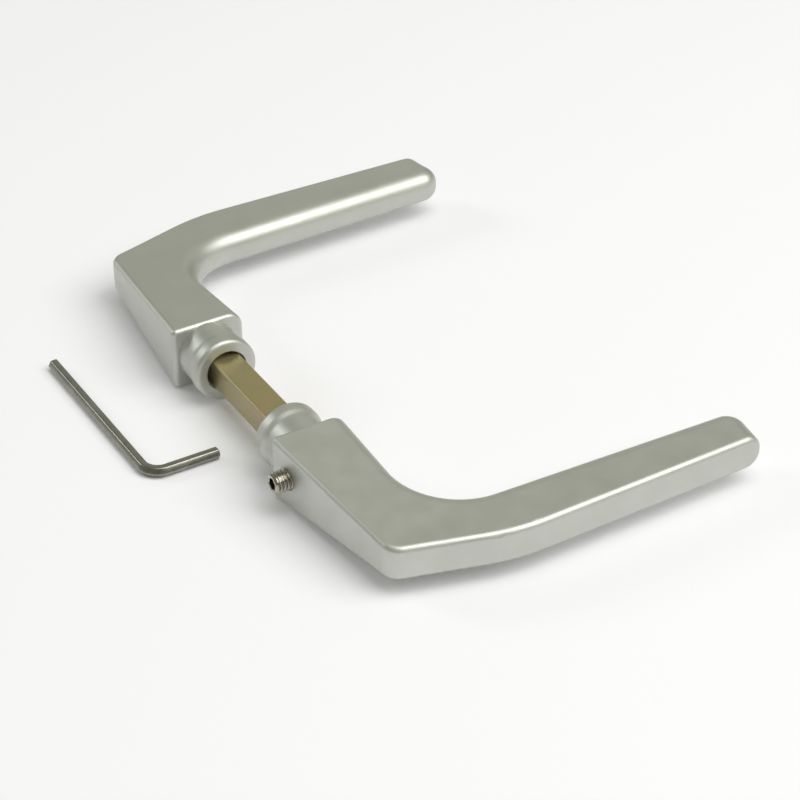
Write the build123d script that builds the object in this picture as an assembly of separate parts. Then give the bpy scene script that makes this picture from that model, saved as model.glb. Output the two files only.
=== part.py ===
from build123d import *
import os

# Pair of door lever handles on one square spindle, with grub screw and hex key.
# mm; +X along the spindle towards the near lever, +Y along the grips, +Z up;
# origin on the spindle axis, halfway between the two lever collars.

# Spindle
spindle_size = 8.0
spindle_edge = 0.5
spindle_far_end = -48.0
spindle_near_end = 52.0

# Collar, a body of revolution about the spindle axis
collar_face_x = 16.3
ring_radius = 9.0
ring_land_end = 19.9
ring_edge = 1.3
throat_radius = 8.5
throat_start = 21.6
collar_blend = 3.0
mouth_radius = 5.9
mouth_depth = 3.5

# Lever, seen from above: neck end, outer corner, bend, grip tip, inner side
neck_end_x = 27.8
neck_front_y = -10.1
neck_back_y = 11.0
corner = (78.6, -5.1)
bend = (87.5, 25.5)
tip_outer = (85.7, 99.2)
tip_inner = (71.5, 101.3)
inner_root_x = 69.2
corner_round = 5.0
bend_round = 55.0
tip_round = 5.5
inner_sweep = 18.5

# Lever, seen from the side: the neck tapers down to the grip thickness
neck_top = 9.0
neck_bottom = 9.6
grip_half_height = 4.8
taper_end_x = 76.0
taper_blend = 120.0
outer_edge = 1.6
inner_edge = 4.4
end_edge = 1.2

# Cast-in steel sleeve with the square socket
sleeve_radius = 6.7
sleeve_length = 20.2
socket_size = 8.1
near_socket_end = 58.2
far_socket_end = 48.2

# Grub screw M6 x 8 with hex socket and cup point
screw_x = 34.8
screw_radius = 3.0
screw_core = 2.55
screw_length = 8.0
screw_outer_y = -13.6
screw_pitch = 1.0
screw_hole_radius = 3.05
hex_flats = 3.0
socket_depth = 3.5
cup_radius = 1.5
cup_depth = 0.8

# Retaining pin of the far lever, pressed in from underneath
pin_x = -30.0
pin_radius = 1.5
pin_top = 1.5
pin_bottom = -8.9

# Hex key, lying beside the handle on the same ground as the necks
key_flats = 2.95
key_bend = 4.6
key_long_end = (-54.9, -33.9)
key_corner = (5.3, -33.5)
key_short_end = (5.4, -14.1)

os.makedirs("parts", exist_ok=True)


def lever_body():
    """Cast lever for the +X side, before any bore is cut."""
    outline = [
        (neck_end_x, neck_back_y),
        (neck_end_x, neck_front_y),
        corner,
        bend,
        tip_outer,
        tip_inner,
        (inner_root_x, neck_back_y),
    ]
    plan = make_face(Polyline(*outline, close=True))
    rounds = {
        corner: corner_round,
        bend: bend_round,
        tip_inner: tip_round,
        (inner_root_x, neck_back_y): inner_sweep,
    }
    for spot, radius in rounds.items():
        plan = fillet(plan.vertices().sort_by_distance((*spot, 0))[0], radius)
    prism = extrude(Pos(0, 0, -12) * plan, 24)

    reach = 100
    side = [
        (neck_end_x, neck_top),
        (taper_end_x, grip_half_height),
        (reach, grip_half_height),
        (reach, -grip_half_height),
        (taper_end_x, -grip_half_height),
        (neck_end_x, -neck_bottom),
    ]
    profile = make_face(Polyline(*side, close=True))
    for sign in (1, -1):
        spot = (taper_end_x, sign * grip_half_height, 0)
        profile = fillet(profile.vertices().sort_by_distance(spot)[0], taper_blend)
    slab = extrude(Plane.XZ * profile, 130, both=True)
    body = prism & slab

    body = fillet(rim_edges(body, inner_side), inner_edge)
    body = fillet(rim_edges(body, outer_side), outer_edge)
    return fillet(end_loop(body), end_edge)


def end_loop(body):
    """Edges round the flat end face of the neck."""
    chosen = []
    for edge in body.edges():
        spots = (edge.position_at(0), edge.position_at(0.5), edge.position_at(1))
        if all(abs(spot.X - neck_end_x) < 0.01 for spot in spots):
            chosen.append(edge)
    return chosen


def rim_edges(body, wanted):
    """Edges of the top and bottom rims whose middle lies on the wanted side."""
    chosen = []
    for edge in body.edges():
        start, end = edge.position_at(0), edge.position_at(1)
        level = abs(start.Z) > 3.5 and abs(end.Z) > 3.5 and start.Z * end.Z > 0
        if level and wanted(edge.position_at(0.5)):
            chosen.append(edge)
    return chosen


def inner_side(p):
    """True for the door side of the neck and grip, and for the tip."""
    on_grip = p.X < 76 and p.Y > 12
    return p.X > neck_end_x + 0.5 and (p.Y > 9 and p.X < 72 or on_grip or p.Y > 98.3)


def outer_side(p):
    """True for the front of the neck and the outer side of the grip."""
    on_front = p.Y < corner[1] + 0.5
    on_outer = p.X > corner[0] - 1 and p.Y < 97.5
    return p.X > neck_end_x + 0.5 and (on_front or on_outer)


def collar_body():
    """Ring flange and short throat, turned about the spindle axis."""
    inside = neck_end_x + 3
    outline = [
        (collar_face_x, 0),
        (collar_face_x, ring_radius),
        (ring_land_end, ring_radius),
        (throat_start, throat_radius),
        (inside, throat_radius),
        (inside, 0),
    ]
    profile = make_face(Polyline(*outline, close=True))
    rounds = [(outline[1], ring_edge), (outline[2], collar_blend), (outline[3], collar_blend)]
    for spot, radius in rounds:
        profile = fillet(profile.vertices().sort_by_distance((*spot, 0))[0], radius)
    return revolve(profile, Axis.X)


def bore(radius, start, end):
    """Round hole along the spindle axis, from start to end in X."""
    rod = Cylinder(radius, end - start, align=(Align.CENTER, Align.CENTER, Align.MIN))
    return Rot(0, 90, 0) * Pos(0, 0, start) * rod


def square_hole(start, end):
    """Square socket for the spindle, from start to end in X."""
    middle = (start + end) / 2
    return Pos(middle, 0, 0) * Box(end - start, socket_size, socket_size)


def lever(socket_end):
    """Finished lever of the +X side with its stepped bore."""
    blank = lever_body() + collar_body()
    sleeve_start = collar_face_x + mouth_depth
    blank -= bore(mouth_radius, collar_face_x - 1, sleeve_start + 0.01)
    blank -= bore(sleeve_radius, sleeve_start, sleeve_start + sleeve_length)
    return blank - square_hole(sleeve_start, socket_end)


def sleeve():
    """Steel sleeve of the +X side with the square socket through it."""
    start = collar_face_x + mouth_depth
    end = start + sleeve_length
    return bore(sleeve_radius, start, end) - square_hole(start - 1, end + 1)


def screw_hole():
    """Round hole for the grub screw, from outside the neck to the socket."""
    rod = Cylinder(screw_hole_radius, 16, align=(Align.CENTER, Align.CENTER, Align.MIN))
    return Pos(screw_x, -socket_size / 2 + 0.5, 0) * Rot(90, 0, 0) * rod


def grub_screw():
    """Grub screw along Y: thread rings, hex socket outside, cup point inside."""
    tip_y = screw_outer_y + screw_length
    outline = [(0, screw_outer_y), (screw_core, screw_outer_y)]
    y = screw_outer_y + 0.5
    while y < tip_y - 0.9:
        outline.append((screw_core, y - 0.05))
        outline.append((screw_radius, y + 0.38))
        outline.append((screw_radius, y + 0.52))
        y += screw_pitch
    outline.append((screw_core, y - 0.05))
    outline.append((2.0, tip_y))
    outline.append((cup_radius, tip_y))
    outline.append((0, tip_y - cup_depth))
    turned = revolve(make_face(Polyline(*outline, close=True)), Axis.Y)
    socket = extrude(RegularPolygon(hex_flats / 2, 6, major_radius=False), socket_depth)
    socket = Pos(0, screw_outer_y, 0) * Rot(-90, 0, 0) * socket
    return Pos(screw_x, 0, 0) * (turned - socket)


def spindle():
    """Square bar with broken long edges, drilled for the retaining pin."""
    length = spindle_near_end - spindle_far_end
    middle = (spindle_near_end + spindle_far_end) / 2
    bar = Pos(middle, 0, 0) * Box(length, spindle_size, spindle_size)
    bar = fillet(bar.edges().filter_by(Axis.X), spindle_edge)
    bar = chamfer(bar.edges().filter_by(Axis.X, reverse=True), 0.25)
    return bar - pin_rod(pin_bottom, pin_top)


def pin_rod(low, high):
    """Round rod on the retaining pin's axis."""
    rod = Cylinder(pin_radius, high - low, align=(Align.CENTER, Align.CENTER, Align.MIN))
    return Pos(pin_x, 0, low) * rod


def hex_key():
    """L-shaped hexagon key, lying flat."""
    z = -neck_bottom + key_flats / 2
    ends = [Vector(*p, z) for p in (key_long_end, key_corner, key_short_end)]
    first = (ends[0] - ends[1]).normalized()
    second = (ends[2] - ends[1]).normalized()
    a = ends[1] + first * key_bend
    b = ends[1] + second * key_bend
    path = Wire([Line(ends[0], a).edge(), TangentArc(a, b, tangent=-first).edge(),
                 Line(b, ends[2]).edge()])
    start = Plane(origin=ends[0], z_dir=-first, x_dir=second)
    section = start * RegularPolygon(key_flats / 2, 6, major_radius=False)
    return sweep(section, path=path)


near_lever = lever(near_socket_end) - screw_hole()
near_sleeve = sleeve() - screw_hole()
far_lever = mirror(lever(far_socket_end), Plane.YZ) - pin_rod(-12, pin_top)
far_sleeve = mirror(sleeve(), Plane.YZ) - pin_rod(pin_bottom, pin_top)
pin = pin_rod(pin_bottom, pin_top)
pin = chamfer(pin.edges().filter_by(GeomType.CIRCLE), 0.25)

nodes = {
    "far_lever": far_lever,
    "far_sleeve": far_sleeve,
    "near_lever": near_lever,
    "near_sleeve": near_sleeve,
    "spindle": spindle(),
    "retaining_pin": pin,
    "grub_screw": grub_screw(),
    "hex_key": hex_key(),
}
for name, shape in nodes.items():
    export_step(shape, f"parts/{name}.step")
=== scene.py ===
import math
import bmesh
import bpy
from mathutils import Matrix, Vector


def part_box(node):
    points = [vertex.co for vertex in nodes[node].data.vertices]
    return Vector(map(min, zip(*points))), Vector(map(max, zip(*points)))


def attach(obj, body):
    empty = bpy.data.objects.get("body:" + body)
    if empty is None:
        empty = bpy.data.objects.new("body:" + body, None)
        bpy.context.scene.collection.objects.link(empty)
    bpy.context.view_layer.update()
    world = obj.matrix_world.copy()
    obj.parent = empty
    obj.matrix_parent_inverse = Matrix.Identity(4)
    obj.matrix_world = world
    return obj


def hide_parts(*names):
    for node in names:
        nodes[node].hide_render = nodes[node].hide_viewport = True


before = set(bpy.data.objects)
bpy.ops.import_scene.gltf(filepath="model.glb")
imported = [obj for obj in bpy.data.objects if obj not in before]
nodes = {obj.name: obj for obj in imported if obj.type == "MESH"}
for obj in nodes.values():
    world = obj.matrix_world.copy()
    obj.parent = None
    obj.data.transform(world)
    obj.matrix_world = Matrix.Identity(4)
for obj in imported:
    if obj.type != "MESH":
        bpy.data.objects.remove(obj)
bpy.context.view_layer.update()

mm = 0.001
print("frame loaded:", len(nodes), "nodes")


# small helpers for node materials

def newMaterial(name):
    mat = bpy.data.materials.new(name)
    mat.use_nodes = True
    tree = mat.node_tree
    shader = tree.nodes["Principled BSDF"]
    return mat, tree, shader


def addNode(tree, kind, inputs=None, **settings):
    node = tree.nodes.new(kind)
    for key, value in settings.items():
        setattr(node, key, value)
    for key, value in (inputs or {}).items():
        socket = node.inputs[key]
        if isinstance(value, bpy.types.NodeSocket):
            tree.links.new(value, socket)
        else:
            socket.default_value = value
    return node


def objectSpace(tree, scale=(1, 1, 1)):
    coords = addNode(tree, "ShaderNodeTexCoord")
    mapping = addNode(tree, "ShaderNodeMapping", {
        "Vector": coords.outputs["Object"], "Scale": scale})
    return mapping.outputs["Vector"]


def noise(tree, vector, scale, detail=4.0, rough=0.55):
    node = addNode(tree, "ShaderNodeTexNoise", {
        "Vector": vector, "Scale": scale, "Detail": detail, "Roughness": rough})
    return node.outputs["Fac"]


def spread(tree, value, low, high, fromLow=0.0, fromHigh=1.0):
    node = addNode(tree, "ShaderNodeMapRange", {
        "Value": value, "From Min": fromLow, "From Max": fromHigh,
        "To Min": low, "To Max": high})
    return node.outputs["Result"]


def blendColors(tree, value, stops):
    ramp = addNode(tree, "ShaderNodeValToRGB", {"Fac": value})
    elements = ramp.color_ramp.elements
    while len(elements) < len(stops):
        elements.new(0.5)
    for element, (spot, color) in zip(elements, stops):
        element.position = spot
        element.color = (*color, 1)
    return ramp.outputs["Color"]


def bump(tree, height, depth, strength=1.0, below=None):
    inputs = {"Height": height, "Distance": depth, "Strength": strength}
    if below is not None:
        inputs["Normal"] = below
    return addNode(tree, "ShaderNodeBump", inputs).outputs["Normal"]


# camera, floor and light

cameraSettings = {
    "azimuth": 59.95, "elevation": 34.46, "roll": -0.625,
    "target": (19.0 * mm, 32.56 * mm, -0.28 * mm), "distance": 626.2 * mm,
    "lens": 108, "sensor": 36,
}


def makeCamera(s):
    az, el = math.radians(s["azimuth"]), math.radians(s["elevation"])
    back = Vector((math.sin(az) * math.cos(el), -math.cos(az) * math.cos(el), math.sin(el)))
    right = Vector((math.cos(az), math.sin(az), 0))
    up = back.cross(right)
    roll = math.radians(s["roll"])
    rightTurned = right * math.cos(roll) + up * math.sin(roll)
    upTurned = up * math.cos(roll) - right * math.sin(roll)
    data = bpy.data.cameras.new("camera")
    data.lens, data.sensor_width = s["lens"], s["sensor"]
    data.clip_start, data.clip_end = 0.01, 20
    camera = bpy.data.objects.new("camera", data)
    bpy.context.scene.collection.objects.link(camera)
    axes = Matrix((rightTurned, upTurned, back)).transposed().to_4x4()
    camera.matrix_world = Matrix.Translation(Vector(s["target"]) + back * s["distance"]) @ axes
    bpy.context.scene.camera = camera


makeCamera(cameraSettings)

studioSettings = {
    "floorSize": 8.0, "floorColor": (0.89, 0.885, 0.93), "floorGlow": 0.07,
    "skyColor": (0.80, 0.83, 0.66), "skyStrength": 0.31,
    "lights": [
        # name, direction towards the light, distance, size, power, colour
        ("keyLight", (0.48, 0.42, 0.77), 1.6, 1.4, 17, (1.0, 0.985, 0.96)),
        ("sideLight", (-0.71, -0.52, 0.46), 1.5, 0.5, 3.0, (0.96, 0.985, 1.0)),
        ("topLight", (0.15, 0.05, 1.0), 1.8, 1.2, 8, (1.0, 1.0, 1.0)),
        ("backLight", (-0.80, 0.45, 0.50), 1.1, 0.8, 0.4, (1.0, 1.0, 0.93)),
    ],
}


def makeStudio(s, floorHeight):
    mesh = bpy.data.meshes.new("floor")
    bm = bmesh.new()
    bmesh.ops.create_grid(bm, x_segments=1, y_segments=1, size=s["floorSize"] / 2)
    bmesh.ops.translate(bm, vec=(0, 0, floorHeight), verts=bm.verts)
    bm.to_mesh(mesh)
    bm.free()
    floor = bpy.data.objects.new("floor", mesh)
    bpy.context.scene.collection.objects.link(floor)
    mat, tree, shader = newMaterial("palePaper")
    shader.inputs["Base Color"].default_value = (*s["floorColor"], 1)
    shader.inputs["Roughness"].default_value = 0.95
    shader.inputs["Specular IOR Level"].default_value = 0.1
    shader.inputs["Emission Color"].default_value = (1, 1, 1, 1)
    shader.inputs["Emission Strength"].default_value = s["floorGlow"]
    mesh.materials.append(mat)

    world = bpy.data.worlds.new("studio")
    bpy.context.scene.world = world
    world.use_nodes = True
    sky = world.node_tree.nodes["Background"]
    sky.inputs["Color"].default_value = (*s["skyColor"], 1)
    sky.inputs["Strength"].default_value = s["skyStrength"]

    for name, direction, distance, size, power, color in s["lights"]:
        data = bpy.data.lights.new(name, "AREA")
        data.shape, data.size, data.energy, data.color = "DISK", size, power, color
        light = bpy.data.objects.new(name, data)
        bpy.context.scene.collection.objects.link(light)
        towards = Vector(direction).normalized()
        light.location = towards * distance
        light.rotation_euler = towards.to_track_quat("Z", "Y").to_euler()
    bpy.context.scene.view_settings.view_transform = "Standard"


floorHeight = min(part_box(name)[0].z for name in nodes) - 0.05 * mm
makeStudio(studioSettings, floorHeight)
print("camera, floor and lights are in place")


# materials of the carried-over nodes

leverFinish = {
    "pale": (0.60, 0.61, 0.575), "deep": (0.565, 0.575, 0.535),
    "roughLow": 0.44, "roughHigh": 0.54, "metal": 0.9,
    "grainScale": 2600, "grainDepth": 0.004 * mm, "cloudScale": 70, "patchScale": 160,
    "waveScale": 60, "waveDepth": 0.03 * mm,
}


def satinAluminium(s):
    mat, tree, shader = newMaterial("satinAluminium")
    space = objectSpace(tree)
    cloud = noise(tree, space, s["cloudScale"], 5, 0.6)
    color = blendColors(tree, cloud, [(0.3, s["deep"]), (0.7, s["pale"])])
    tree.links.new(color, shader.inputs["Base Color"])
    shader.inputs["Metallic"].default_value = s["metal"]
    grain = noise(tree, space, s["grainScale"], 3, 0.6)
    patch = noise(tree, space, s["patchScale"], 4, 0.5)
    mixed = addNode(tree, "ShaderNodeMath", {0: patch, 1: grain}, operation="MULTIPLY")
    rough = spread(tree, mixed.outputs[0], s["roughLow"], s["roughHigh"], 0.1, 0.4)
    tree.links.new(rough, shader.inputs["Roughness"])
    wave = bump(tree, noise(tree, space, s["waveScale"], 2, 0.5), s["waveDepth"], 0.6)
    fine = bump(tree, grain, s["grainDepth"], 0.8, wave)
    tree.links.new(fine, shader.inputs["Normal"])
    return mat


barFinish = {
    "gold": (0.36, 0.30, 0.145), "olive": (0.31, 0.285, 0.16), "rose": (0.38, 0.28, 0.16),
    "rough": (0.26, 0.34), "metal": 0.55, "cloudScale": 180,
    "streakScale": 900, "streakDepth": 0.001 * mm,
}


def passivatedBar(s):
    mat, tree, shader = newMaterial("yellowPassivatedSteel")
    along = objectSpace(tree, scale=(0.08, 1, 1))
    cloud = noise(tree, objectSpace(tree, scale=(0.4, 1, 1)), s["cloudScale"], 4, 0.6)
    color = blendColors(tree, cloud, [(0.3, s["olive"]), (0.5, s["gold"]), (0.72, s["rose"])])
    tree.links.new(color, shader.inputs["Base Color"])
    shader.inputs["Metallic"].default_value = s["metal"]
    streaks = noise(tree, along, s["streakScale"], 2, 0.5)
    tree.links.new(spread(tree, streaks, *s["rough"], 0.3, 0.7), shader.inputs["Roughness"])
    tree.links.new(bump(tree, streaks, s["streakDepth"], 0.3), shader.inputs["Normal"])
    return mat


steelFinishes = {
    "turnedSteel": {
        "bright": (0.50, 0.48, 0.45), "dark": (0.38, 0.36, 0.34),
        "rough": (0.30, 0.45), "scale": 300},
    "stainlessSteel": {
        "bright": (0.52, 0.49, 0.43), "dark": (0.38, 0.355, 0.31),
        "rough": (0.16, 0.28), "scale": 500},
    "nickelSteel": {
        "bright": (0.35, 0.345, 0.31), "dark": (0.255, 0.25, 0.225),
        "rough": (0.24, 0.36), "scale": 260},
}


def steel(name):
    s = steelFinishes[name]
    mat, tree, shader = newMaterial(name)
    space = objectSpace(tree)
    cloud = noise(tree, space, s["scale"], 4, 0.6)
    color = blendColors(tree, cloud, [(0.3, s["dark"]), (0.7, s["bright"])])
    tree.links.new(color, shader.inputs["Base Color"])
    shader.inputs["Metallic"].default_value = 1.0
    fine = noise(tree, space, 3000, 3, 0.6)
    tree.links.new(spread(tree, fine, *s["rough"], 0.3, 0.7), shader.inputs["Roughness"])
    tree.links.new(bump(tree, fine, 0.003 * mm, 0.6), shader.inputs["Normal"])
    return mat


def dress(nodeName, mat):
    for slot in nodes[nodeName].material_slots:
        slot.material = mat


satin = satinAluminium(leverFinish)
for leverName in ("far_lever", "near_lever"):
    dress(leverName, satin)
dress("spindle", passivatedBar(barFinish))
turned = steel("turnedSteel")
for name in ("far_sleeve", "near_sleeve", "retaining_pin"):
    dress(name, turned)
print("materials are on the carried-over nodes")


# helpers for new pieces

def growLoop(bm, edges, move=(0, 0, 0), scale=(1, 1, 1), about=(0, 0, 0)):
    made = bmesh.ops.extrude_edge_only(bm, edges=edges)["geom"]
    verts = [g for g in made if isinstance(g, bmesh.types.BMVert)]
    bmesh.ops.scale(bm, vec=scale, space=Matrix.Translation(-Vector(about)), verts=verts)
    bmesh.ops.translate(bm, vec=move, verts=verts)
    fresh = set(verts)
    return [g for g in made if isinstance(g, bmesh.types.BMEdge) and set(g.verts) <= fresh]


def reshape(edges, radiusAt):
    for vert in {v for e in edges for v in e.verts}:
        angle = math.atan2(vert.co.y, vert.co.x)
        vert.co.x, vert.co.y = radiusAt(angle) * math.cos(angle), radiusAt(angle) * math.sin(angle)


def hexagonAt(angle, flat):
    fromFlat = (angle + math.radians(30)) % math.radians(60) - math.radians(30)
    return flat / math.cos(fromFlat)


def openEdges(bm, test):
    return [e for e in bm.edges if e.is_boundary and all(test(v.co) for v in e.verts)]


def closeUp(bm):
    bmesh.ops.remove_doubles(bm, verts=bm.verts, dist=0.002 * mm)
    bmesh.ops.holes_fill(bm, edges=[e for e in bm.edges if e.is_boundary], sides=0)
    bmesh.ops.recalc_face_normals(bm, faces=bm.faces)


def finishPiece(bm, name, body, node, mat, sharp):
    mesh = bpy.data.meshes.new(name)
    bm.to_mesh(mesh)
    bm.free()
    mesh.materials.append(mat)
    mesh.shade_smooth()
    mesh.set_sharp_from_angle(angle=math.radians(sharp))
    piece = bpy.data.objects.new(name, mesh)
    bpy.context.scene.collection.objects.link(piece)
    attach(piece, body)
    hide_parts(node)
    print(name, "has", len(mesh.polygons), "faces")


# grub screw, with a real helical thread

screwSettings = {
    "crest": 2.98 * mm, "core": 2.46 * mm, "pitch": 1.0 * mm, "stepsPerTurn": 36,
    "crestStart": 0.38, "crestEnd": 0.52, "rootStart": 0.90, "turned": 12,
    "endTaper": 0.5 * mm, "tipTaper": 1.0 * mm, "endRadius": 2.42 * mm,
    "tipRadius": 1.9 * mm, "cupRadius": 1.35 * mm, "cupDepth": 0.7 * mm, "cupFloor": 0.1 * mm,
    "hexFlats": 3.0 * mm, "socketDepth": 3.4 * mm, "socketRim": 0.15 * mm,
    "drillPoint": 0.6 * mm,
}


def makeScrew(s):
    low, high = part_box("grub_screw")
    length = high.y - low.y
    pitch, steps = s["pitch"], s["stepsPerTurn"]
    bm = bmesh.new()
    outline = [
        (s["core"], 0.0), (s["crest"], s["crestStart"]), (s["crest"], s["crestEnd"]),
        (s["core"], s["rootStart"]), (s["core"], 1.0),
    ]
    points = [bm.verts.new((r, 0, (z - 2) * pitch)) for r, z in outline]
    edges = [bm.edges.new(pair) for pair in zip(points, points[1:])]
    turns = int(length / pitch) + 4
    bmesh.ops.spin(bm, geom=points + edges, cent=(0, 0, 0), axis=(0, 0, 1),
                   dvec=(0, 0, pitch / steps), angle=math.tau * turns, steps=steps * turns)
    bmesh.ops.remove_doubles(bm, verts=bm.verts, dist=0.004 * mm)
    top, bottom = s["endTaper"], length - s["tipTaper"]
    for height, direction in ((top, -1), (bottom, 1)):
        bmesh.ops.bisect_plane(bm, geom=bm.verts[:] + bm.edges[:] + bm.faces[:], dist=0.001 * mm,
                               plane_co=(0, 0, height), plane_no=(0, 0, direction), clear_outer=True)
    # outer end: taper, then a flat ring in to the hexagon, then the socket
    flat = s["hexFlats"] / 2
    rim = growLoop(bm, openEdges(bm, lambda co: co.z < top + 0.01 * mm), (0, 0, -top))
    reshape(rim, lambda angle: s["endRadius"])
    wall = growLoop(bm, rim)
    reshape(wall, lambda angle: hexagonAt(angle, flat + s["socketRim"]))
    wall = growLoop(bm, wall, (0, 0, s["socketRim"]))
    reshape(wall, lambda angle: hexagonAt(angle, flat))
    wall = growLoop(bm, wall, (0, 0, s["socketDepth"] - s["socketRim"]))
    growLoop(bm, wall, (0, 0, s["drillPoint"]), (0.05, 0.05, 1))
    # inner end: taper to the cup point
    tip = openEdges(bm, lambda co: co.z > bottom - 0.01 * mm)
    cup = ((s["tipRadius"], s["tipTaper"]), (s["cupRadius"], 0), (s["cupFloor"], -s["cupDepth"]))
    for radius, rise in cup:
        tip = growLoop(bm, tip, (0, 0, rise))
        reshape(tip, lambda angle: radius)
    closeUp(bm)
    place = Matrix.Translation(((low.x + high.x) / 2, low.y, (low.z + high.z) / 2))
    turn = Matrix.Rotation(math.radians(-90), 4, "X")
    spun = Matrix.Rotation(math.radians(s["turned"]), 4, "Z")
    bmesh.ops.transform(bm, matrix=place @ turn @ spun, verts=bm.verts)
    stainless = steel("stainlessSteel")
    finishPiece(bm, "grubScrewM6", "grub_screw", "grub_screw", stainless, 35)


makeScrew(screwSettings)


# hex key, a bent hexagon bar with softened corners

keySettings = {
    "flats": 2.95 * mm, "cornerRound": 0.22 * mm, "endBevel": 0.3 * mm,
    "bendRadius": 4.6 * mm, "bendSteps": 16, "slant": 0.4 * mm,
}


def makeKey(s):
    low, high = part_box("hex_key")
    half = s["flats"] / 2
    middle = (low.z + high.z) / 2
    reach = s["flats"] / math.sqrt(3)
    cornerX, cornerY = high.x - reach, low.y + reach
    bm = bmesh.new()
    bmesh.ops.create_circle(bm, segments=6, radius=reach)
    bmesh.ops.bevel(bm, geom=bm.verts[:] + bm.edges[:], offset=s["cornerRound"], segments=3,
                    profile=0.5, affect="VERTICES", material=-1)
    # stand the hexagon up across the long arm, flats level
    stand = Matrix.Translation((low.x, cornerY, middle)) @ Matrix.Rotation(math.radians(90), 4, "Y")
    bmesh.ops.transform(bm, matrix=stand, verts=bm.verts)
    loop = bm.edges[:]
    shrink = 1 - s["endBevel"] / half
    centre = Vector((low.x, cornerY, middle))
    bmesh.ops.scale(bm, vec=(1, shrink, shrink), space=Matrix.Translation(-centre), verts=bm.verts)
    loop = growLoop(bm, loop, (s["endBevel"], 0, 0), (1, 1 / shrink, 1 / shrink), centre)
    straight = cornerX - s["bendRadius"] - low.x - s["endBevel"]
    for part in range(4):
        loop = growLoop(bm, loop, (straight / 4, s["slant"] / 4, 0))
    cornerY += s["slant"]
    bendCentre = (cornerX - s["bendRadius"], cornerY + s["bendRadius"], middle)
    verts = list({v for e in loop for v in e.verts})
    bent = bmesh.ops.spin(bm, geom=verts + loop, cent=bendCentre, axis=(0, 0, 1),
                          angle=math.radians(90), steps=s["bendSteps"])["geom_last"]
    loop = [g for g in bent if isinstance(g, bmesh.types.BMEdge)]
    rise = high.y - s["endBevel"] - (cornerY + s["bendRadius"])
    for part in range(2):
        loop = growLoop(bm, loop, (0, rise / 2, 0))
    growLoop(bm, loop, (0, s["endBevel"], 0), (shrink, 1, shrink), (cornerX, 0, middle))
    closeUp(bm)
    finishPiece(bm, "hexKey", "hex_key", "hex_key", steel("nickelSteel"), 25)


makeKey(keySettings)
print("new pieces are made")
